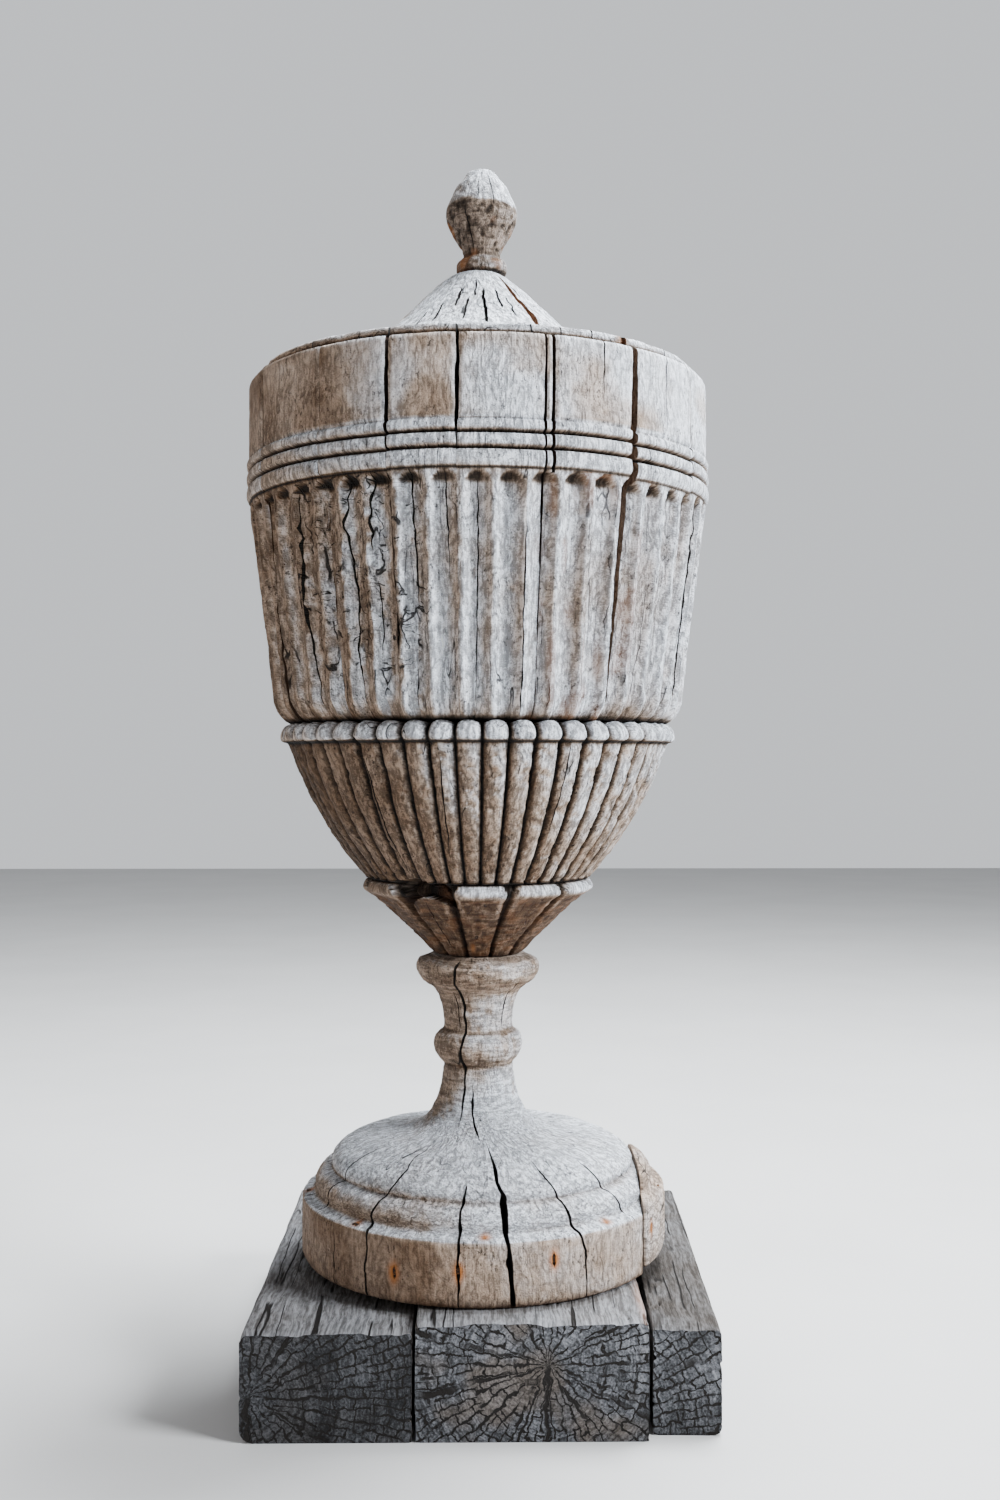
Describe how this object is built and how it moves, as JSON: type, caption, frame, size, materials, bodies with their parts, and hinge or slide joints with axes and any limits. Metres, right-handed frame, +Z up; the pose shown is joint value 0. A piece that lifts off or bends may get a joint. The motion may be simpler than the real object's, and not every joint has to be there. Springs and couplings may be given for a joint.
{
  "type": "architectural urn",
  "caption": "Weathered carved wooden roof or gatepost urn with fluted drum, reeded bowl, leaf tier, turned foot, conical lid and finial on a timber plinth.",
  "frame": {"origin": "on the plinth's underside, midway along the timbers and midway across the plinth's front", "axes": "+Z up, the pictured front faces -Y, +X to the right of the front"},
  "size_m": [0.4041, 0.4073, 1.0394],
  "materials": {
    "silvered_pine": "sun-bleached silver grey softwood, checked, with traces of brown in the carving",
    "finial_wood": "pale weathered top over a dark brown pitted underside",
    "pale_slip": "pale grey bare wood",
    "plinth_timber": "old grey-brown timber with dark end grain and drying checks",
    "rusted_nail": "rusted cut nail"
  },
  "bodies": {
    "root": {"plinth_timber_left": "plinth_timber", "plinth_timber_middle": "plinth_timber", "plinth_timber_right": "plinth_timber", "foot": "silvered_pine", "foot_side_board": "silvered_pine", "bowl": "silvered_pine", "drum_stave_01": "silvered_pine", "drum_stave_02": "silvered_pine", "drum_stave_03": "silvered_pine", "drum_stave_04": "silvered_pine", "drum_stave_05": "silvered_pine", "drum_stave_06": "silvered_pine", "drum_stave_07": "silvered_pine", "drum_stave_08": "silvered_pine", "drum_stave_09": "silvered_pine", "drum_stave_10": "silvered_pine", "drum_stave_11": "silvered_pine", "drum_stave_12": "silvered_pine", "drum_stave_13": "silvered_pine", "drum_stave_14": "silvered_pine", "drum_stave_15": "silvered_pine", "drum_stave_16": "silvered_pine", "drum_filler_slip": "pale_slip", "lid": "silvered_pine", "finial": "finial_wood", "side_nail_1": "rusted_nail", "side_nail_2": "rusted_nail", "side_nail_3": "rusted_nail", "side_nail_4": "rusted_nail", "ledge_nail_1": "rusted_nail", "ledge_nail_2": "rusted_nail", "ledge_nail_3": "rusted_nail", "ledge_nail_4": "rusted_nail", "ledge_nail_5": "rusted_nail"}
  },
  "joints": []
}
